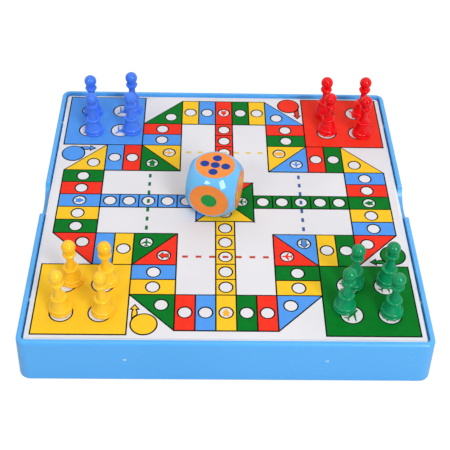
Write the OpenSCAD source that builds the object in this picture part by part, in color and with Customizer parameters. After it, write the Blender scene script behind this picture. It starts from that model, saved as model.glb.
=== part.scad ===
// Travel ludo set: a moulded tray, a lift-off printed board, sixteen pawns and one large die.
// Millimetres, +Z up. The origin is the middle of the tray's underside.

/* [Tray] */
// Width and depth of the tray across its rim
tray_w = 254.6; // [220:0.2:320]
// Height of the tray, table to rim
tray_h = 33.8; // [28:0.1:50]
// Wall thickness at the rim
wall_t = 3.2; // [2:0.1:4.5]
// How far the walls lean out at the foot
foot_flare = 1.5; // [0.2:0.1:2]
// Plan radius of the outer corners
corner_r = 6; // [5:0.5:12]
// Radius of the rim's outer edge
rim_r = 1.8; // [0.5:0.1:1.9]
// Radius of the foot's outer edge
foot_r = 1.2; // [0.4:0.1:2]
// Thickness of the floor
floor_t = 2; // [1.2:0.1:4]
// Number of ribs on the front and on the back wall that carry the board
ribs_per_wall = 2; // [2:2:6]
// Thickness of a rib
rib_t = 2; // [1.2:0.1:4]
// How far a rib reaches under the board
rib_reach = 4; // [2:0.5:8]

/* [Finger scoops] */
// Length of a scoop along the rim
scoop_l = 32.2; // [24:0.2:50]
// How far the scoops lie behind the middle of their walls
scoop_y = 1.7; // [0:0.1:10]
// Depth of a scoop below the rim
scoop_d = 10.8; // [8:0.1:14]
// Rounding where a scoop runs out into the rim
scoop_edge_r = 2; // [0.5:0.25:3]

/* [Board] */
// Gap between the board and the tray wall
board_gap = 0.7; // [0.5:0.1:1.5]
// Thickness of the board
board_t = 2.6; // [1.8:0.1:4]
// Radius of the board's upper edge
board_edge_r = 0.8; // [0.3:0.1:1.4]
// How far the printed face lies below the rim
rim_lip = 1.6; // [0:0.1:2]
// Length of a snap tab along the board's edge
tab_l = 2.4; // [1.5:0.1:5]
// Distance of the snap tabs from the board's middle
tab_y = 90; // [60:1:110]
// Clearance between a snap tab and the tray wall
tab_clear = 0.2; // [0.1:0.05:0.4]

/* [Printed sheet] */
// Thickness of the sheet
sheet_t = 0.4; // [0.2:0.05:1]
// Board left bare around the sheet
sheet_margin = 1.9; // [1:0.1:4]
// Corner radius of the sheet
sheet_r = 2; // [0.5:0.1:5]
// Sheet left white around the print
print_margin = 1; // [0.6:0.1:5]
// How far the print sits towards the back of the sheet
print_shift = 0.9; // [0:0.1:1]
// Thickness of one layer of ink
ink_t = 0.1; // [0.05:0.01:0.2]
// Width of the black key lines
line_w = 0.9; // [0.3:0.05:1]
// Width of the finer line along the track's slanted sides
slant_w = 0.85; // [0.5:0.05:1]
// Short side of a track cell
cell_s = 12.9; // [11.5:0.1:15]
// How far a corner base stands out past the track
base_step = 3.5; // [1:0.1:6]
// Radius of a cell's white ring
dot_r = 4.9; // [3.5:0.05:5.2]
// Radius of a parking ring in a corner base
park_r = 7.7; // [5:0.1:8]
// Distance between parking rings
park_pitch = 24; // [18:0.5:28]
// Half width of the square in the middle
hub = 20; // [17:0.5:22]
// Radius of a starting disc
start_r = 8.7; // [6:0.1:9]
// Gap between a starting disc and its base
start_gap = 1.7; // [0.6:0.1:3]
// How far a starting disc stands out past its base
start_out = 0.4; // [0:0.1:0.9]
// Length of a dash in the flight lines
dash_l = 3.8; // [2.5:0.1:3.9]
// Width of a dash
dash_w = 1.9; // [1:0.1:3]
// Distance from dash to dash
dash_pitch = 8.9; // [8.9:0.1:9.4]

/* [Pawns] */
// Radius of the foot ring
pawn_r = 7.3; // [7:0.1:9]
// Height of the foot ring
pawn_foot_h = 2; // [1.5:0.1:3]
// Radius of the groove over the foot ring
pawn_groove_r = 6.4; // [5:0.1:6.7]
// Radius of the bell's lower bead
pawn_bead_r = 7; // [6.8:0.1:7.4]
// Height of the bell's lower bead
pawn_bead_h = 2.6; // [1.5:0.1:3]
// Height of the bell over its bead
pawn_bell_h = 6.6; // [5:0.1:11]
// Radius at the top of the bell
pawn_bell_r = 4.2; // [3.5:0.1:4.5]
// Radius of the middle ring
pawn_ring_r = 5.2; // [4.6:0.1:6.4]
// Thickness of the middle ring
pawn_ring_t = 2; // [1.2:0.1:2.6]
// Radius at the foot of the stem
pawn_stem_r = 3.2; // [2.6:0.1:3.8]
// Radius at the top of the stem
pawn_neck_r = 2.3; // [1.6:0.1:2.5]
// Height of the stem
pawn_stem_h = 8.6; // [7:0.1:16]
// Radius of the cuff under the collar
pawn_cuff_r = 3.3; // [2.8:0.1:3.8]
// Thickness of the cuff
pawn_cuff_t = 1.4; // [0.8:0.1:2]
// Radius of the collar
pawn_collar_r = 4.3; // [3.9:0.05:5]
// Thickness of the collar
pawn_collar_t = 2.4; // [1.6:0.1:3]
// Radius of the throat between the collar and the head
pawn_throat_r = 3.1; // [2.2:0.1:3.3]
// Height of the throat
pawn_throat_h = 1.7; // [1:0.1:3]
// Radius of the ball head
pawn_head_r = 4.45; // [3.5:0.05:5.5]

/* [Die] */
// Width of the die over its stickers
die_w = 34.8; // [30:0.2:42]
// How deep the ball that rounds the die cuts into the middle of an edge
die_cut = 1.9; // [0.5:0.1:3]
// Radius of a face sticker
sticker_r = 13.4; // [11:0.1:14]
// Thickness of a sticker
sticker_t = 0.2; // [0.2:0.05:0.8]
// Radius of a pip
pip_r = 3.1; // [2:0.1:3.2]
// Radius of the single large pip
one_r = 5.5; // [3:0.1:6]
// Distance of the outer pips from the face's middle
pip_ring = 7.2; // [7:0.1:8]
// Turn of the die on the board, in degrees
die_turn = -14; // [-45:1:45]

/* [Hidden] */
$fn = 64;
fuse = 1;
taper_steps = 8;
dash_side = 3;
home_cells = 5;
band_cells = 5;
step_cells = 2;

inner_w = tray_w - 2 * wall_t;
inner_r = corner_r - wall_t;
board_w = inner_w - 2 * board_gap;
board_r = inner_r;
sheet_w = board_w - 2 * sheet_margin;
print_z = tray_h - rim_lip;
colour_z = print_z - ink_t;
key_z = colour_z - ink_t;
sheet_z = key_z - sheet_t;
board_z = sheet_z - board_t;
wall_lean = atan(foot_flare / tray_h);

scoop_r = (scoop_l * scoop_l / 4 + scoop_d * scoop_d) / (2 * scoop_d);
scoop_z = tray_h - scoop_d + scoop_r;
// The run-out's rounds bite a little into the scoop's arc and crest over the rim
scoop_bite = 0.05;
run_z = tray_h + scoop_bite - scoop_edge_r;
run_y = sqrt(pow(scoop_r + scoop_edge_r - scoop_bite, 2) - pow(run_z - scoop_z, 2));
// Where the line from the arc's middle to a round's middle passes the rim
run_in = run_y * (scoop_z - tray_h) / (scoop_z - run_z);
scoop_cut_l = wall_t + foot_flare + board_gap + rib_reach;

// Lines of the print, counted out from the middle of the board
base_out = sheet_w / 2 - print_margin - print_shift;
track_out = base_out - base_step;
band_w = (track_out - (band_cells / 2 + step_cells) * cell_s) / 2;
line_h = band_cells / 2 * cell_s;
line_i = line_h + band_w;
line_j = line_i + step_cells * cell_s;
home_l = (line_j - hub) / home_cells;
flight_y = hub + home_cells / 2 * home_l;
base_mid = (line_i + base_out) / 2;
tri_inset = 2 + sqrt(2);
tri_mid = band_w * (1 - sqrt(1 / 2));
hub_dot = [0, hub * (2 - sqrt(2))];

// Heights of the pawn's parts over the board
bead_z = pawn_foot_h;
bell_z = bead_z + pawn_bead_h;
ring_z = bell_z + pawn_bell_h;
stem_z = ring_z + pawn_ring_t;
cuff_z = stem_z + pawn_stem_h;
collar_z = cuff_z + pawn_cuff_t;
throat_z = collar_z + pawn_collar_t;
head_z = throat_z + pawn_throat_h + sqrt(pow(pawn_head_r, 2) - pow(pawn_throat_r, 2));
// How strongly the bell and the stem are hollowed
bell_bend = 1.3;
stem_bend = 2;
// How far the bell starts inside its bead
bell_in = 0.35;

die_body_w = die_w - 2 * sticker_t;
die_ball_r = die_body_w / sqrt(2) - die_cut;
die_at = [-7.2, -1.4];

// Colours in the order they follow each other round the track
TRACK = ["green", "yellow", "blue", "red"];
// Colours by side or corner, clockwise from the back or the back left
HOME = ["red", "green", "yellow", "blue"];
FLIGHT = ["yellow", "blue", "red", "green"];
BASE = ["blue", "red", "green", "yellow"];
cells_per_side = band_cells + 2 * step_cells + 4;

INK = [["red", "#f03c28"], ["yellow", "#facd32"], ["green", "#0a8232"], ["blue", "#559beb"]];
PAWN = [["red", "#f01419"], ["yellow", "#ffc32d"], ["green", "#14965f"], ["blue", "#4178f5"]];
sky = "#5fb2f5";
function shade(table, name) = [for (row = table) if (row[0] == name) row[1]][0];

// How far each pawn stands off its parking ring: back left, back right, front right, front left
function pawn_spots(name) =
    name == "blue" ? [[1.4, -3.6], [7.8, 1.2], [8.4, -0.2], [4.2, -1.8]] :
    name == "red" ? [[-0.6, -1.8], [4.8, -1.4], [2.6, -1.2], [0.4, 1.8]] :
    name == "green" ? [[3.4, 1.8], [1.6, 4.2], [1, 2], [-4.2, 5.8]] :
    [[4.4, 2.8], [2.6, 2.2], [2, 1.2], [-0.4, 2]];
RING_SIDES = [[-1, 1], [1, 1], [1, -1], [-1, -1]];
BASE_SIDES = [["blue", -1, 1], ["red", 1, 1], ["green", 1, -1], ["yellow", -1, -1]];

// Square block with round corners: the edge section is swept along the sides and round the corners
module swept_block(width, radius, height) {
    reach = width / 2 - radius;
    for (turn = [0, 90])
        rotate([90, 0, turn])
            linear_extrude(2 * reach, center = true) {
                translate([-reach, 0])
                    square([2 * reach, height]);
                for (side = [0, 1])
                    mirror([side, 0])
                        translate([reach, 0])
                            children();
            }
    for (corner = [0:3])
        rotate(90 * corner)
            translate([reach, reach])
                rotate_extrude(angle = 90)
                    children();
}

// Flat square with round corners
module round_square(width, radius) {
    reach = width / 2 - radius;
    square([width, 2 * reach], center = true);
    square([2 * reach, width], center = true);
    for (x = [-reach, reach])
        for (y = [-reach, reach])
            translate([x, y])
                circle(radius);
}

// Section of the tray's outside, from a corner's axis outwards: leaning wall, round rim and foot
function wall_x(z) = corner_r + foot_flare * (1 - z / tray_h);
module tray_edge() {
    rim_x = wall_x(tray_h - rim_r) - rim_r / cos(wall_lean);
    foot_x = wall_x(foot_r) - foot_r / cos(wall_lean);
    polygon([[0, 0], [foot_x, 0], [foot_x, foot_r],
             [foot_x + foot_r * cos(wall_lean), foot_r + foot_r * sin(wall_lean)],
             [rim_x + rim_r * cos(wall_lean), tray_h - rim_r + rim_r * sin(wall_lean)],
             [rim_x, tray_h - rim_r], [rim_x, tray_h], [0, tray_h]]);
    translate([rim_x, tray_h - rim_r])
        circle(rim_r);
    translate([foot_x, foot_r])
        circle(foot_r);
}

// Outline of a finger scoop: an arc that runs out into the rim in two small rounds
module scoop_outline() {
    translate([0, scoop_z])
        circle(scoop_r);
    difference() {
        polygon([[-run_in, tray_h], [-run_y, run_z], [-run_y, tray_h + fuse],
                 [run_y, tray_h + fuse], [run_y, run_z], [run_in, tray_h]]);
        for (side = [-1, 1])
            translate([side * run_y, run_z])
                circle(scoop_edge_r);
    }
}

module tray_ribs() {
    pitch = inner_w / ribs_per_wall;
    depth = board_gap + rib_reach + fuse;
    for (wall = [0, 180])
        for (rib = [0:ribs_per_wall - 1])
            rotate(wall)
                translate([(rib + 0.5) * pitch - inner_w / 2 - rib_t / 2, -inner_w / 2 - fuse, floor_t - fuse])
                    cube([rib_t, depth, board_z - floor_t + fuse]);
}

module tray() {
    color(sky) {
        difference() {
            swept_block(tray_w, corner_r, tray_h)
                tray_edge();
            translate([0, 0, floor_t])
                linear_extrude(tray_h)
                    round_square(inner_w, inner_r);
            for (side = [0, 1])
                mirror([side, 0, 0])
                    translate([inner_w / 2 - board_gap - rib_reach, scoop_y, 0])
                        rotate([90, 0, 90])
                            linear_extrude(scoop_cut_l + fuse)
                                scoop_outline();
        }
        tray_ribs();
    }
}

// Section of the board's edge, from a corner's axis outwards: square below, round above
module board_edge() {
    square([board_r, board_t - board_edge_r]);
    square([board_r - board_edge_r, board_t]);
    translate([board_r - board_edge_r, board_t - board_edge_r])
        circle(board_edge_r);
}

module board_panel() {
    tab_h = board_t - board_edge_r;
    tab_out = board_gap - tab_clear;
    color("#eeeef2")
        translate([0, 0, board_z]) {
            swept_block(board_w, board_r, board_t)
                board_edge();
            for (x = [-1, 1])
                for (y = [-tab_y, tab_y])
                    translate([x * (board_w / 2 + (tab_out - fuse) / 2), y, tab_h / 2])
                        cube([tab_out + fuse, tab_l, tab_h], center = true);
        }
}

module playing_sheet() {
    color("#e4e2e8")
        translate([0, 0, sheet_z])
            linear_extrude(sheet_t)
                round_square(sheet_w, sheet_r);
}

// One layer of the print
module ink(z) {
    translate([0, print_shift, z])
        linear_extrude(ink_t)
            children();
}

// Axis-parallel cell from corner to corner, drawn in by an inset
module box_cell(low, high, inset) {
    translate([low[0] + inset, low[1] + inset])
        square([high[0] - low[0] - 2 * inset, high[1] - low[1] - 2 * inset]);
}

// Right-angled cell with its corner at a point and its legs along two directions
module tri_cell(corner, way, inset) {
    leg = band_w - tri_inset * inset;
    translate([corner[0] + way[0] * inset, corner[1] + way[1] * inset])
        polygon([[0, 0], [way[0] * leg, 0], [0, way[1] * leg]]);
}

// Track cell of the back side, counted clockwise from its left-hand corner triangle
module track_cell(k, inset) {
    if (k == 0)
        tri_cell([-line_h, line_j], [-1, 1], inset);
    else if (k <= band_cells)
        box_cell([(k - 1) * cell_s - line_h, line_j], [k * cell_s - line_h, track_out], inset);
    else if (k == band_cells + 1)
        tri_cell([line_h, line_j], [1, 1], inset);
    else if (k <= band_cells + 1 + step_cells)
        box_cell([line_h, line_j - (k - band_cells - 1) * cell_s],
                 [line_i, line_j - (k - band_cells - 2) * cell_s], inset);
    else if (k == band_cells + 2 + step_cells)
        tri_cell([line_h, line_i], [1, -1], inset);
    else if (k == band_cells + 3 + step_cells)
        tri_cell([line_i, line_h], [-1, 1], inset);
    else
        box_cell([line_i + (k - band_cells - 4 - step_cells) * cell_s, line_h],
                 [line_i + (k - band_cells - 3 - step_cells) * cell_s, line_i], inset);
}

// Middle of a track cell's ring
function track_dot(k) =
    k == 0 ? [-line_h - tri_mid, line_j + tri_mid] :
    k <= band_cells ? [(k - 0.5) * cell_s - line_h, line_j + band_w / 2] :
    k == band_cells + 1 ? [line_h + tri_mid, line_j + tri_mid] :
    k <= band_cells + 1 + step_cells ?
        [line_h + band_w / 2, line_j - (k - band_cells - 1.5) * cell_s] :
    k == band_cells + 2 + step_cells ? [line_h + tri_mid, line_i - tri_mid] :
    k == band_cells + 3 + step_cells ? [line_i - tri_mid, line_h + tri_mid] :
    [line_i + (k - band_cells - 3.5 - step_cells) * cell_s, line_h + band_w / 2];

module home_cell(k, inset) {
    box_cell([-cell_s / 2, hub + k * home_l], [cell_s / 2, hub + (k + 1) * home_l], inset);
}

// Back quarter of the square in the middle
module hub_cell(inset) {
    side = hub - inset * (1 + sqrt(2));
    polygon([[0, inset * sqrt(2)], [side, hub - inset], [-side, hub - inset]]);
}
module base_cell(inset) {
    box_cell([-base_out, line_i], [-line_i, base_out], inset);
}

// White rings of the back side and the back-left corner
module side_rings(radius) {
    for (k = [0:cells_per_side - 1])
        translate(track_dot(k))
            circle(radius);
    for (k = [0:home_cells - 1])
        translate([0, hub + (k + 0.5) * home_l])
            circle(radius);
    translate(hub_dot)
        circle(radius);
}

module park_rings(radius) {
    for (side = RING_SIDES)
        translate([-base_mid, base_mid] + park_pitch / 2 * side)
            circle(radius);
}

module start_disc(radius) {
    translate([start_r - base_out - start_out, line_i - start_gap - start_r])
        circle(radius);
}

// Black layer: every printed area with its outline, open inside the rings
module print_key() {
    edge = -line_w / 2;
    slant = sqrt(2) * (slant_w + edge);
    color("#15151a")
        ink(key_z)
            for (turn = [0:3])
                rotate(-90 * turn)
                    difference() {
                        union() {
                            polygon([[edge - slant - line_i, line_j + edge],
                                     [line_i + slant - edge, line_j + edge],
                                     [line_h + slant + edge, track_out - edge],
                                     [-edge - slant - line_h, track_out - edge]]);
                            box_cell([line_h, line_h], [line_i, line_j], edge);
                            box_cell([line_i, line_h], [line_j, line_i], edge);
                            box_cell([-cell_s / 2, hub], [cell_s / 2, line_j], edge);
                            hub_cell(edge);
                            base_cell(edge);
                            start_disc(start_r);
                        }
                        side_rings(dot_r - line_w);
                        park_rings(park_r - line_w);
                    }
}

// One colour of ink: cells lie on the black layer and leave its lines showing
module print_colour(name) {
    edge = line_w / 2;
    color(shade(INK, name)) {
        ink(colour_z)
            for (turn = [0:3])
                rotate(-90 * turn) {
                    for (k = [0:cells_per_side - 1])
                        if (TRACK[(cells_per_side * turn + k) % 4] == name)
                            difference() {
                                track_cell(k, edge);
                                translate(track_dot(k))
                                    circle(dot_r);
                            }
                    if (HOME[turn] == name)
                        difference() {
                            union() {
                                for (k = [0:home_cells - 1])
                                    home_cell(k, edge);
                                hub_cell(edge);
                            }
                            side_rings(dot_r);
                        }
                    if (BASE[turn] == name) {
                        difference() {
                            base_cell(edge);
                            park_rings(park_r);
                        }
                        start_disc(start_r - line_w);
                    }
                }
        ink(key_z)
            rotate(-90 * search([name], FLIGHT)[0])
                for (dash = [-dash_side:dash_side])
                    translate([dash * dash_pitch, flight_y])
                        square([dash_l, dash_w], center = true);
    }
}

module print_red() print_colour("red");
module print_yellow() print_colour("yellow");
module print_green() print_colour("green");
module print_blue() print_colour("blue");

// Round-edged disc in the pawn's section
module bead(radius, z, height) {
    translate([0, z])
        square([radius - height / 2, height]);
    translate([radius - height / 2, z + height / 2])
        circle(height / 2);
}

// Points up a hollow taper from its wide foot to its narrow top
function taper(wide, narrow, z, height, bend) =
    [for (step = [0:taper_steps])
        let (up = step / taper_steps)
        [narrow + (wide - narrow) * pow(1 - up, bend), z + up * height]];

// Half section of a pawn: foot ring, beaded bell, ring, slender stem, cuff, collar and ball head
module pawn_section() {
    bead_mid = bell_z - pawn_bead_h / 2;
    bell = taper(pawn_bead_r - bell_in, pawn_bell_r, bead_mid, ring_z - bead_mid, bell_bend);
    stem = taper(pawn_stem_r, pawn_neck_r, stem_z, pawn_stem_h, stem_bend);
    intersection() {
        square([pawn_r + fuse, head_z + pawn_head_r]);
        union() {
            bead(pawn_r, 0, pawn_foot_h);
            square([pawn_groove_r, bead_mid]);
            bead(pawn_bead_r, bead_z, pawn_bead_h);
            polygon(concat([[0, bead_mid]], bell, [[0, ring_z]]));
            bead(pawn_ring_r, ring_z, pawn_ring_t);
            polygon(concat([[0, stem_z]], stem, [[0, cuff_z]]));
            bead(pawn_cuff_r, cuff_z, pawn_cuff_t);
            bead(pawn_collar_r, collar_z, pawn_collar_t);
            translate([0, collar_z])
                square([pawn_throat_r, head_z - collar_z]);
            translate([0, head_z])
                circle(pawn_head_r);
        }
    }
}

module pawn(name, number) {
    base = [for (row = BASE_SIDES) if (row[0] == name) row][0];
    ring = park_pitch / 2 * RING_SIDES[number - 1];
    spot = [base[1] * base_mid, base[2] * base_mid] + ring + pawn_spots(name)[number - 1];
    color(shade(PAWN, name))
        translate([spot[0], spot[1] + print_shift, print_z])
            rotate_extrude()
                pawn_section();
}

// Cube with its edges and corners cut round by a ball, about its own middle
module ball_cube(width, ball_r) {
    intersection() {
        cube(width, center = true);
        sphere(ball_r);
    }
}

// Places its children as the die stands on the board
module die_pose() {
    translate([die_at[0], die_at[1] + print_shift, print_z + die_w / 2])
        rotate(die_turn)
            children();
}

// Turn that brings the top of the die to the face with a number
function die_face(number) =
    number == 5 ? [0, 0, 0] :
    number == 2 ? [180, 0, 0] :
    number == 1 ? [90, 0, 0] :
    number == 6 ? [-90, 0, 0] :
    number == 4 ? [0, 90, 0] :
    [0, -90, 0];

// Middles of the pips on a face
function pips(number) =
    number == 1 ? [[0, 0]] :
    number == 2 ? [for (a = [45, 225]) pip_ring * [cos(a), sin(a)]] :
    number == 3 ? [for (a = [0, 120, 240]) pip_ring * [cos(a), sin(a)]] :
    number == 4 ? [for (a = [0, 90, 180, 270]) pip_ring * [cos(a), sin(a)]] :
    number == 5 ? concat([[0, 0]], [for (a = [2, 92, 182, 272]) pip_ring * [cos(a), sin(a)]]) :
    [for (a = [0:60:300]) pip_ring * [cos(a), sin(a)]];

module pip_cores(number) {
    radius = number == 1 ? one_r : pip_r;
    for (spot = pips(number))
        translate([spot[0], spot[1], 0])
            cylinder(h = die_w, r = radius);
}

// Skin on the die inside the cores that are given
module die_skin(number) {
    die_pose()
        rotate(die_face(number))
            difference() {
                intersection() {
                    ball_cube(die_w, die_ball_r + sticker_t);
                    children();
                }
                ball_cube(die_body_w, die_ball_r);
            }
}

module die_body() {
    color("#6ebef5")
        die_pose()
            ball_cube(die_body_w, die_ball_r);
}

module die_sticker(number) {
    color("#eb8c3c")
        die_skin(number)
            difference() {
                cylinder(h = die_w, r = sticker_r);
                pip_cores(number);
            }
}

module die_sticker_1() die_sticker(1);
module die_sticker_2() die_sticker(2);
module die_sticker_3() die_sticker(3);
module die_sticker_4() die_sticker(4);
module die_sticker_5() die_sticker(5);
module die_sticker_6() die_sticker(6);

module die_pips(tint, numbers) {
    color(tint)
        for (number = numbers)
            die_skin(number)
                pip_cores(number);
}

module die_pips_green() die_pips("#289146", [1, 6]);
module die_pips_blue() die_pips("#284ba0", [2, 5]);
module die_pips_yellow() die_pips("#fabe3c", [3, 4]);

tray();
board_panel();
playing_sheet();
print_key();
print_red();
print_yellow();
print_green();
print_blue();
pawn("red", 1);  // pawn_red_1
pawn("red", 2);  // pawn_red_2
pawn("red", 3);  // pawn_red_3
pawn("red", 4);  // pawn_red_4
pawn("yellow", 1);  // pawn_yellow_1
pawn("yellow", 2);  // pawn_yellow_2
pawn("yellow", 3);  // pawn_yellow_3
pawn("yellow", 4);  // pawn_yellow_4
pawn("green", 1);  // pawn_green_1
pawn("green", 2);  // pawn_green_2
pawn("green", 3);  // pawn_green_3
pawn("green", 4);  // pawn_green_4
pawn("blue", 1);  // pawn_blue_1
pawn("blue", 2);  // pawn_blue_2
pawn("blue", 3);  // pawn_blue_3
pawn("blue", 4);  // pawn_blue_4
die_body();
die_sticker_1();
die_sticker_2();
die_sticker_3();
die_sticker_4();
die_sticker_5();
die_sticker_6();
die_pips_green();
die_pips_blue();
die_pips_yellow();
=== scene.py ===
import math

import bmesh
import bpy
from mathutils import Matrix, Vector


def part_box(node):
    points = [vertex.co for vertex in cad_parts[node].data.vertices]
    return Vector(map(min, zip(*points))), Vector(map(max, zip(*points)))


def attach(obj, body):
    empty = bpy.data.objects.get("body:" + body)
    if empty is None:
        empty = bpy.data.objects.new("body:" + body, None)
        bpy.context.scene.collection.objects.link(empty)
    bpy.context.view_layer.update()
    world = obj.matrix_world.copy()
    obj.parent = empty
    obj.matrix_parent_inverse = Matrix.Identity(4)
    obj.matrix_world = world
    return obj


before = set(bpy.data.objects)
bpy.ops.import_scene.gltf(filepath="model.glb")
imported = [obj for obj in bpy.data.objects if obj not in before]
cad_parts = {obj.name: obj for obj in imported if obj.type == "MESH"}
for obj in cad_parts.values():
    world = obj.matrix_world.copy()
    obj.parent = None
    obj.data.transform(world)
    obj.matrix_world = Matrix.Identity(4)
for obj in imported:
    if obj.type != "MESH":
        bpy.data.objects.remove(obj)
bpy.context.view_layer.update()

# Tray: one injection-moulded box of glossy sky-blue plastic, with a rounded rim, a finger
# scoop in two walls and a flat floor. Everything else sits in it, or is put away in it.
MM = 0.001


def screen_colour(red, green, blue):
    """Linear colour of a swatch given in screen values from 0 to 255."""
    def linear(value):
        value /= 255
        return value / 12.92 if value <= 0.04045 else ((value + 0.055) / 1.055) ** 2.4
    return (linear(red), linear(green), linear(blue), 1.0)


def feed(tree, socket, value):
    """Links an input to another node's output, or sets it to a constant."""
    if isinstance(value, bpy.types.NodeSocket):
        tree.links.new(value, socket)
    else:
        socket.default_value = value


def wire(tree, node, **sockets):
    """Feeds the named inputs of a node."""
    for name, value in sockets.items():
        feed(tree, node.inputs[name.replace("_", " ")], value)


def put(tree, kind, settings=None, **sockets):
    """Adds a node, with settings on the node and values or links on its inputs."""
    node = tree.nodes.new(kind)
    for name, value in (settings or {}).items():
        setattr(node, name, value)
    wire(tree, node, **sockets)
    return node


def between(tree, value, low, high, start=0.0, end=1.0):
    """Stretches a value from one range to another."""
    node = put(tree, "ShaderNodeMapRange", Value=value, From_Min=low, From_Max=high,
               To_Min=start, To_Max=end)
    return node.outputs["Result"]


COLOUR_A, COLOUR_B, COLOUR_OUT = 6, 7, 2


def tint(tree, factor, first, second):
    """Mixes two colours by a mask."""
    node = put(tree, "ShaderNodeMix", {"data_type": "RGBA"}, Factor=factor)
    feed(tree, node.inputs[COLOUR_A], first)
    feed(tree, node.inputs[COLOUR_B], second)
    return node.outputs[COLOUR_OUT]


def effect(name, inputs, outputs):
    """Empty node group with named sockets."""
    group = bpy.data.node_groups.new(name, "ShaderNodeTree")
    for socket, kind in inputs.items():
        group.interface.new_socket(socket, in_out="INPUT", socket_type=kind)
    for socket in outputs:
        group.interface.new_socket(socket, in_out="OUTPUT", socket_type="NodeSocketFloat")
    return group, group.nodes.new("NodeGroupInput"), group.nodes.new("NodeGroupOutput")


# Skin of a moulded piece: fine grain from the mould, slow clouds of tone, and hairline rubs
moulded_skin, given, result = effect(
    "moulded_skin",
    {"Vector": "NodeSocketVector", "Grain": "NodeSocketFloat", "Cloud": "NodeSocketFloat"},
    ("Height", "Tone", "Rub"))
grain = put(moulded_skin, "ShaderNodeTexNoise", Vector=given.outputs["Vector"],
            Scale=given.outputs["Grain"], Detail=3.0, Roughness=0.6)
cloud = put(moulded_skin, "ShaderNodeTexNoise", Vector=given.outputs["Vector"],
            Scale=given.outputs["Cloud"], Detail=2.0, Roughness=0.5)
drawn = put(moulded_skin, "ShaderNodeMapping", Vector=given.outputs["Vector"],
            Rotation=(0.2, 0.1, 0.6), Scale=(1.0, 16.0, 1.0))
rub = put(moulded_skin, "ShaderNodeTexNoise", Vector=drawn.outputs["Vector"],
          Scale=given.outputs["Grain"], Detail=2.0, Roughness=0.7)
wire(moulded_skin, result, Height=grain.outputs["Fac"],
     Tone=between(moulded_skin, cloud.outputs["Fac"], 0.32, 0.68),
     Rub=between(moulded_skin, rub.outputs["Fac"], 0.55, 0.75))


def start_material(name):
    """Material with only its output, its shader and its coordinates."""
    material = bpy.data.materials.new(name)
    material.use_nodes = True
    tree = material.node_tree
    shader = tree.nodes["Principled BSDF"]
    where = tree.nodes.new("ShaderNodeTexCoord").outputs["Object"]
    return material, tree, shader, where


def moulded_plastic(name, deep, light, grain, cloud, smooth, rough, relief, gloss=0.5):
    """Coloured plastic as it leaves the mould."""
    material, tree, shader, where = start_material(name)
    skin = put(tree, "ShaderNodeGroup", {"node_tree": moulded_skin},
               Vector=where, Grain=grain, Cloud=cloud)
    bump = put(tree, "ShaderNodeBump", Height=skin.outputs["Height"], Strength=0.25,
               Distance=relief)
    wire(tree, shader,
         Base_Color=tint(tree, skin.outputs["Tone"], deep, light),
         Roughness=between(tree, skin.outputs["Rub"], 0.0, 1.0, smooth, rough),
         Normal=bump.outputs["Normal"],
         Specular_IOR_Level=gloss)
    return material


def dress(node, material):
    """Gives a frame piece its finish."""
    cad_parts[node].material_slots[0].material = material


tray_plastic = moulded_plastic(
    "tray_plastic", screen_colour(82, 174, 246), screen_colour(88, 180, 250),
    grain=900, cloud=9, smooth=0.24, rough=0.32, relief=0.003 * MM)
dress("tray", tray_plastic)

# Sink marks: two small pale spots on the tray's front wall, where the plastic shrank over the
# ribs behind it. They are skin-thin, and part of the moulding. Their pale colour is a painted
# highlight, standing in for the light they catch.
MARK_X = 62 * MM
MARK_Z = 19.3 * MM
MARK_SIZE = Vector((2.2, 0.5, 1.7)) * MM
MARK_EDGE = 0.22 * MM
WALL_AT_MARK = 127.92 * MM
mark_shape = bmesh.new()
for side in (-1, 1):
    place = Matrix.Translation((side * MARK_X, -WALL_AT_MARK, MARK_Z))
    bmesh.ops.create_cube(mark_shape, size=1.0,
                          matrix=place @ Matrix.Diagonal((*MARK_SIZE, 1.0)))
bmesh.ops.bevel(mark_shape, geom=mark_shape.edges[:], offset=MARK_EDGE, segments=3, profile=0.5,
                affect="EDGES", material=-1)


def finish_piece(name, shape, material, body, smooth=False):
    """Turns a finished bmesh into a piece that rides on a body of the frame."""
    bmesh.ops.recalc_face_normals(shape, faces=shape.faces)
    for face in shape.faces:
        face.smooth = smooth
    mesh = bpy.data.meshes.new(name)
    shape.to_mesh(mesh)
    shape.free()
    mesh.materials.append(material)
    piece = bpy.data.objects.new(name, mesh)
    bpy.context.scene.collection.objects.link(piece)
    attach(piece, body)


# The marks' pale blue is a painted highlight, lighter than the tray's own plastic.
mark_painted_highlight = moulded_plastic(
    "mark_painted_highlight", screen_colour(150, 205, 250), screen_colour(175, 220, 252),
    grain=1500, cloud=60, smooth=0.3, rough=0.5, relief=0.03 * MM)
finish_piece("sink_marks", mark_shape, mark_painted_highlight, "tray", smooth=True)

# Board: a flat panel of white plastic that drops into the tray and rests on its ribs. Its
# upper edge is rounded, and four small tabs on its sides snap against the tray's walls.
board_plastic = moulded_plastic(
    "board_plastic", screen_colour(226, 226, 232), screen_colour(236, 236, 241),
    grain=1100, cloud=12, smooth=0.3, rough=0.45, relief=0.04 * MM)
dress("board_panel", board_plastic)

# Playing sheet: a white printed sheet, stuck flat on the board. Its laminate has a soft
# sheen, with faint waves from the glue under it.


def weighted(tree, value, weight, rest):
    """Adds a share of one value to another."""
    node = put(tree, "ShaderNodeMath", {"operation": "MULTIPLY_ADD"})
    for socket, part in zip(node.inputs, (value, weight, rest)):
        feed(tree, socket, part)
    return node.outputs["Value"]


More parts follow.
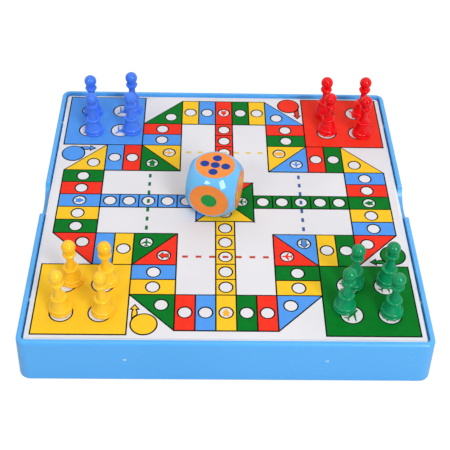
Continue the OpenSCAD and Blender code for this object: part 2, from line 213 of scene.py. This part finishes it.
sheet_white, tree, shader, where = start_material("sheet_white")
fibre = put(tree, "ShaderNodeTexNoise", Vector=where, Scale=700.0, Detail=4.0, Roughness=0.65)
wave = put(tree, "ShaderNodeTexNoise", Vector=where, Scale=22.0, Detail=1.0)
shade = weighted(tree, fibre.outputs["Fac"], 0.35,
                 between(tree, wave.outputs["Fac"], 0.3, 0.7, 0.0, 0.65))
swell = put(tree, "ShaderNodeBump", Height=wave.outputs["Fac"], Strength=0.15, Distance=0.3 * MM)
wire(tree, shader,
     Base_Color=tint(tree, shade, screen_colour(220, 219, 224), screen_colour(229, 228, 232)),
     Roughness=between(tree, fibre.outputs["Fac"], 0.3, 0.7, 0.36, 0.46),
     Normal=swell.outputs["Normal"],
     Specular_IOR_Level=0.3)
dress("playing_sheet", sheet_white)

# Print: a black key layer on the sheet, and four coloured inks over it. Each colour is laid down
# in a fine screen of dots, so that a little of the paper shows between them. The dashed flight
# lines are printed with the key layer, straight on the sheet, in a duller tone.
SHEET_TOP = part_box("playing_sheet")[1].z
KEY_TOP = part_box("print_key")[1].z
INK_T = KEY_TOP - SHEET_TOP
DOTS_PER_M = 2900.0
ink_screen, given, result = effect(
    "ink_screen", {"Vector": "NodeSocketVector", "Dots": "NodeSocketFloat"}, ("Dot", "Mottle"))
turned = put(ink_screen, "ShaderNodeMapping", Vector=given.outputs["Vector"],
             Rotation=(0.0, 0.0, math.radians(45)))
cells = put(ink_screen, "ShaderNodeTexVoronoi", {"voronoi_dimensions": "2D"},
            Vector=turned.outputs["Vector"], Scale=given.outputs["Dots"], Randomness=0.0)
mottle = put(ink_screen, "ShaderNodeTexNoise", Vector=given.outputs["Vector"], Scale=260.0,
             Detail=3.0)
wire(ink_screen, result,
     Dot=between(ink_screen, cells.outputs["Distance"], 0.42, 0.62),
     Mottle=between(ink_screen, mottle.outputs["Fac"], 0.3, 0.7))


def printing_ink(name, solid, thin, dash=None, dots=DOTS_PER_M, smooth=0.34, rough=0.46):
    """Ink that thins out between the dots of its screen and is mottled where it dried."""
    material, tree, shader, where = start_material(name)
    screen = put(tree, "ShaderNodeGroup", {"node_tree": ink_screen}, Vector=where, Dots=dots)
    open_paper = weighted(tree, screen.outputs["Dot"], 0.6,
                          between(tree, screen.outputs["Mottle"], 0.0, 1.0, 0.0, 0.4))
    colour = tint(tree, open_paper, solid, thin)
    if dash:
        level = put(tree, "ShaderNodeSeparateXYZ", Vector=where).outputs["Z"]
        over_key = between(tree, level, KEY_TOP + 0.2 * INK_T, KEY_TOP + 0.5 * INK_T)
        colour = tint(tree, over_key, dash, colour)
    bump = put(tree, "ShaderNodeBump", Height=screen.outputs["Mottle"], Strength=0.1,
               Distance=0.02 * MM)
    wire(tree, shader,
         Base_Color=colour,
         Roughness=between(tree, screen.outputs["Mottle"], 0.0, 1.0, smooth, rough),
         Normal=bump.outputs["Normal"],
         Specular_IOR_Level=0.06)
    return material


ink_black = printing_ink("ink_black", screen_colour(4, 4, 7), screen_colour(12, 12, 16))
dress("print_key", ink_black)
INK_TONES = {
    "red": (screen_colour(240, 46, 28), screen_colour(247, 64, 46), screen_colour(194, 70, 52)),
    "yellow": (screen_colour(245, 194, 34), screen_colour(249, 203, 56),
               screen_colour(226, 200, 96)),
    "green": (screen_colour(2, 112, 31), screen_colour(8, 127, 45), screen_colour(30, 108, 60)),
    "blue": (screen_colour(76, 148, 234), screen_colour(94, 161, 239),
             screen_colour(58, 96, 154))}
inks = {}
for name, tones in INK_TONES.items():
    inks[name] = printing_ink(f"ink_{name}", *tones)
    dress(f"print_{name}", inks[name])

# Small signs, printed flat on the sheet in the board's inks: planes in the parking rings, the hub
# and the flight cells, block arrows at the flight lines, darts in the middle of each side, and
# starting arrows. The starting arrows and some block arrows are laid on a black outline.
CELL = 12.9
BAND_CELLS, STEP_CELLS = 5, 2
CELLS_PER_SIDE = BAND_CELLS + 2 * STEP_CELLS + 4
BLOCK_CELL, FLIGHT_CELL = 9, 10
BASE_OUT, BASE_STEP = 119.6, 3.5
BAND = (BASE_OUT - BASE_STEP - (BAND_CELLS / 2 + STEP_CELLS) * CELL) / 2
LINE_H = BAND_CELLS / 2 * CELL
LINE_I = LINE_H + BAND
LINE_J = LINE_I + STEP_CELLS * CELL
TRI_MID = BAND * (1 - math.sqrt(0.5))
HUB = 20
HUB_DOT = HUB * (2 - math.sqrt(2))
BASE_MID = (LINE_I + BASE_OUT) / 2
PARK = 12
START_R, START_GAP, START_OUT = 8.7, 1.7, 0.4
START = (START_R - BASE_OUT - START_OUT, LINE_I - START_GAP - START_R)
PRINT_SHIFT = (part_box("print_key")[0].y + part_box("print_key")[1].y) / 2
HOME = ("red", "green", "yellow", "blue")
BASE = ("blue", "red", "green", "yellow")
TRACK = ("green", "yellow", "blue", "red")
PLANE_HALF = ((0, 3.7), (0.5, 3.0), (0.6, 1.2), (3.3, -0.6), (3.3, -1.5), (0.6, -0.5),
              (0.5, -2.3), (1.5, -3.0), (1.5, -3.6), (0, -3.2))
PARK_HALF = ((0, 5.8), (0.6, 5.0), (0.75, 2.6), (5.2, -1.7), (5.2, -2.6), (0.75, 0.4),
             (0.6, -3.4), (1.9, -4.8), (1.9, -5.4), (0, -4.4))
BLOCK_ARROW = ((0, 3.7), (3.5, 0.3), (1.8, 0.3), (1.8, -3.3), (-1.8, -3.3), (-1.8, 0.3),
               (-3.5, 0.3))
DART = ((0, 3.5), (2.7, -0.5), (1.6, -0.5), (2.1, -3.2), (0, -2.3), (-2.1, -3.2), (-1.6, -0.5),
        (-2.7, -0.5))
START_ARROW = ((3.2, 8.0), (9.8, 8.1), (11.5, 7.6), (11.7, 9.5), (16.4, 6.2), (11.7, 2.9),
               (11.5, 4.8), (9.8, 4.1), (7.2, 4.1), (6.2, 5.6), (4.8, 6.9))
UP, RIGHT, DOWN, DOWN_LEFT = 0, -90, 180, 135
START_LINE, BLOCK_LINE = 0.8, 0.5
OUTLINED_BLOCKS = ("red", "blue")


def mirrored(half):
    """Closes a half outline by its mirror image."""
    return half + tuple((-x, y) for x, y in half[-2:0:-1])


def lay_flat(shape, outline, spot, turn, quarter, inset=0.0, level=0):
    """Adds a flat shape at its spot in the first quarter, turned to the given quarter."""
    place = (Matrix.Translation((0, PRINT_SHIFT, SHEET_TOP + level * INK_T))
             @ Matrix.Rotation(math.radians(-90 * quarter), 4, "Z")
             @ Matrix.Translation((spot[0] * MM, spot[1] * MM, 0))
             @ Matrix.Rotation(math.radians(turn), 4, "Z"))
    corners = [shape.verts.new(place @ Vector((x * MM, y * MM, 0))) for x, y in outline]
    flat = [shape.faces.new(corners)]
    flat[0].normal_update()
    if inset:
        border = bmesh.ops.inset_region(shape, faces=flat, thickness=inset * MM,
                                        use_boundary=True, use_even_offset=True)
        bmesh.ops.delete(shape, geom=border["faces"], context="FACES")
    raised = bmesh.ops.extrude_face_region(shape, geom=flat)
    lifted = [part for part in raised["geom"] if isinstance(part, bmesh.types.BMVert)]
    bmesh.ops.translate(shape, vec=(0, 0, INK_T), verts=lifted)


SIGN_TONES = {"red": (screen_colour(232, 48, 34), screen_colour(242, 64, 48)),
              "yellow": (screen_colour(242, 172, 46), screen_colour(248, 188, 66)),
              "green": (screen_colour(10, 112, 40), screen_colour(20, 126, 54)),
              "blue": (screen_colour(66, 134, 222), screen_colour(84, 152, 234))}
signs = {name: bmesh.new() for name in SIGN_TONES}
start_arrows = {name: bmesh.new() for name in SIGN_TONES}
outlines = bmesh.new()


def lay_outlined(shape, outline, spot, turn, quarter, key_line):
    """Lays a sign's black shape on the sheet, and its colour on that inside a key line."""
    lay_flat(outlines, outline, spot, turn, quarter)
    lay_flat(shape, outline, spot, turn, quarter, inset=key_line, level=1)


PLANE = mirrored(PLANE_HALF)
PARK_PLANE = mirrored(PARK_HALF)
BLOCK_SPOT = (LINE_H + TRI_MID, LINE_I - TRI_MID)
FLIGHT_SPOT = (LINE_I - TRI_MID, LINE_H + TRI_MID)
for quarter in range(4):
    home, base = HOME[quarter], BASE[quarter]
    lay_flat(signs[home], PLANE, (0, HUB_DOT), DOWN, quarter)
    lay_flat(signs[home], DART, (0, LINE_J + BAND / 2), DOWN, quarter)
    block = TRACK[(CELLS_PER_SIDE * quarter + BLOCK_CELL) % 4]
    if block in OUTLINED_BLOCKS:
        lay_outlined(signs[block], BLOCK_ARROW, BLOCK_SPOT, RIGHT, quarter, BLOCK_LINE)
    else:
        lay_flat(signs[block], BLOCK_ARROW, BLOCK_SPOT, RIGHT, quarter)
    flight = TRACK[(CELLS_PER_SIDE * quarter + FLIGHT_CELL) % 4]
    lay_flat(signs[flight], PLANE, FLIGHT_SPOT, DOWN, quarter)
    for x in (-PARK, PARK):
        for y in (-PARK, PARK):
            lay_flat(signs[base], PARK_PLANE, (x - BASE_MID, y + BASE_MID), DOWN_LEFT, quarter)
    lay_outlined(start_arrows[base], START_ARROW, START, UP, quarter, START_LINE)
finish_piece("sign_outlines", outlines, ink_black, "board")
for name, tones in SIGN_TONES.items():
    sign_ink = printing_ink(f"sign_{name}", *tones)
    finish_piece(f"signs_{name}", signs[name], sign_ink, "board")
    finish_piece(f"start_arrow_{name}", start_arrows[name], inks[name], "board")

# Pawns: sixteen solid moulded pawns with a ball head, four of each colour, standing loose on
# their parking rings. The plastic is evenly dyed, smooth all over and softly glossy.
PAWN_COLOURS = {"red": (screen_colour(236, 4, 14), screen_colour(246, 14, 22)),
                "yellow": (screen_colour(255, 194, 34), screen_colour(255, 206, 48)),
                "green": (screen_colour(3, 138, 85), screen_colour(11, 155, 98)),
                "blue": (screen_colour(60, 119, 242), screen_colour(74, 134, 250))}
for name, (deep, light) in PAWN_COLOURS.items():
    pawn_plastic = moulded_plastic(f"pawn_{name}", deep, light, grain=1600, cloud=45, smooth=0.07,
                                   rough=0.12, relief=0.001 * MM, gloss=0.36)
    for number in range(1, 5):
        dress(f"pawn_{name}_{number}", pawn_plastic)

# Die: a large block of light blue plastic with well-rounded edges and corners, moulded in one
# piece. A round sticker with printed pips lies on each face.
die_plastic = moulded_plastic(
    "die_plastic", screen_colour(104, 187, 249), screen_colour(114, 197, 254),
    grain=1300, cloud=30, smooth=0.05, rough=0.1, relief=0.004 * MM)
dress("die_body", die_plastic)

# Stickers and pips: round paper stickers, printed orange in a coarse grain, with the pips
# printed on them in green, blue or yellow.
sticker_ink, tree, shader, where = start_material("sticker_ink")
speckle = put(tree, "ShaderNodeTexNoise", Vector=where, Scale=1500.0, Detail=2.0, Roughness=0.7)
mottle = put(tree, "ShaderNodeTexNoise", Vector=where, Scale=160.0, Detail=2.0)
grain = weighted(tree, between(tree, speckle.outputs["Fac"], 0.35, 0.65), 0.7,
                 between(tree, mottle.outputs["Fac"], 0.3, 0.7, 0.0, 0.3))
wire(tree, shader,
     Base_Color=tint(tree, grain, screen_colour(240, 128, 39), screen_colour(254, 154, 60)),
     Roughness=between(tree, mottle.outputs["Fac"], 0.3, 0.7, 0.4, 0.52))
for number in range(1, 7):
    dress(f"die_sticker_{number}", sticker_ink)
PIP_INKS = {"green": (screen_colour(32, 148, 68), screen_colour(48, 164, 86)),
            "blue": (screen_colour(28, 62, 150), screen_colour(44, 80, 166)),
            "yellow": (screen_colour(248, 186, 50), screen_colour(252, 200, 76))}
for name, (solid, thin) in PIP_INKS.items():
    pip_ink = printing_ink(f"pip_{name}", solid, thin, dots=3400.0, smooth=0.4, rough=0.5)
    dress(f"die_pips_{name}", pip_ink)

# Stage: a pale floor, two softboxes beside the camera, a wide one overhead, a bright wall behind,
# and the camera where the photograph was taken from.
FLOOR_HALF = 6.0
FLOOR_GREYS = ((0.62, 0.62, 0.62, 1), (0.66, 0.66, 0.66, 1))
FLOOR_GLOW, GLOW_SHARE = 1.1, 0.86
WHITE = (1, 1, 1, 1)
floor_shape = bmesh.new()
bmesh.ops.create_grid(floor_shape, x_segments=1, y_segments=1, size=FLOOR_HALF)
floor_mesh = bpy.data.meshes.new("floor")
floor_shape.to_mesh(floor_mesh)
floor_shape.free()
floor = bpy.data.objects.new("floor", floor_mesh)
bpy.context.scene.collection.objects.link(floor)
floor_white, tree, shader, where = start_material("floor_white")
dust = put(tree, "ShaderNodeTexNoise", Vector=where, Scale=3.0, Detail=2.0)
wire(tree, shader, Base_Color=tint(tree, dust.outputs["Fac"], *FLOOR_GREYS), Roughness=0.7,
     Specular_IOR_Level=0.1)
seen = tree.nodes.new("ShaderNodeLightPath").outputs["Is Camera Ray"]
glow = put(tree, "ShaderNodeEmission", Color=WHITE, Strength=FLOOR_GLOW)
cover = put(tree, "ShaderNodeMixShader", Fac=between(tree, seen, 0.0, 1.0, 0.0, GLOW_SHARE))
feed(tree, cover.inputs[1], shader.outputs["BSDF"])
feed(tree, cover.inputs[2], glow.outputs["Emission"])
wire(tree, tree.nodes["Material Output"], Surface=cover.outputs["Shader"])
floor_mesh.materials.append(floor_white)

ROOM_LIGHT, WALL_LIGHT, SEEN_LIGHT = 0.12, 0.8, 1.0
world = bpy.data.worlds.new("studio")
bpy.context.scene.world = world
world.use_nodes = True
tree = world.node_tree
sky = tree.nodes.new("ShaderNodeTexCoord").outputs["Generated"]
depth = put(tree, "ShaderNodeSeparateXYZ", Vector=sky).outputs["Y"]
around = between(tree, depth, -0.3, 0.3, ROOM_LIGHT, WALL_LIGHT)
seen = tree.nodes.new("ShaderNodeLightPath").outputs["Is Camera Ray"]
strength = put(tree, "ShaderNodeMix", Factor=seen, A=around, B=SEEN_LIGHT)
wire(tree, tree.nodes["Background"], Color=WHITE, Strength=strength.outputs["Result"])

TARGET = Vector((-0.07, -22.64, 32.2)) * MM


def seen_from(azimuth, elevation):
    """Direction from the board to a place round it and above it, in degrees."""
    turn, rise = math.radians(azimuth), math.radians(elevation)
    return Vector((math.sin(turn) * math.cos(rise), -math.cos(turn) * math.cos(rise),
                   math.sin(rise)))


def softbox(name, azimuth, elevation, distance, width, height, power):
    """Rectangular lamp that looks at the board from the given direction."""
    lamp = bpy.data.lights.new(name, "AREA")
    lamp.shape = "RECTANGLE"
    lamp.size = width
    lamp.size_y = height
    lamp.energy = power
    holder = bpy.data.objects.new(name, lamp)
    away = seen_from(azimuth, elevation)
    holder.location = TARGET + away * distance
    holder.rotation_euler = away.to_track_quat("Z", "Y").to_euler()
    bpy.context.scene.collection.objects.link(holder)


softbox("softbox_left", azimuth=-38, elevation=41, distance=2.2, width=0.68, height=0.4, power=8.6)
softbox("softbox_right", azimuth=32, elevation=36, distance=2.2, width=0.71, height=1.12,
        power=28.6)
softbox("softbox_over", azimuth=10, elevation=80, distance=1.6, width=1.4, height=1.4, power=5.8)

AZIMUTH, ELEVATION, ROLL = -1.77, 44.32, math.radians(1.81)
DISTANCE = 629.4 * MM
PHOTO_SIDE = 450
FOCAL_PIXELS = 921.2
away = seen_from(AZIMUTH, ELEVATION)
level = Vector((math.cos(math.radians(AZIMUTH)), math.sin(math.radians(AZIMUTH)), 0))
upright = away.cross(level)
across = level * math.cos(ROLL) + upright * math.sin(ROLL)
upward = upright * math.cos(ROLL) - level * math.sin(ROLL)
lens = bpy.data.cameras.new("camera")
lens.sensor_width = 36
lens.lens = FOCAL_PIXELS * lens.sensor_width / PHOTO_SIDE
lens.clip_start = 0.01
camera = bpy.data.objects.new("camera", lens)
axes = Matrix((across, upward, away)).transposed().to_4x4()
camera.matrix_world = Matrix.Translation(TARGET + away * DISTANCE) @ axes
bpy.context.scene.collection.objects.link(camera)
bpy.context.scene.camera = camera
bpy.context.scene.view_settings.view_transform = "Standard"
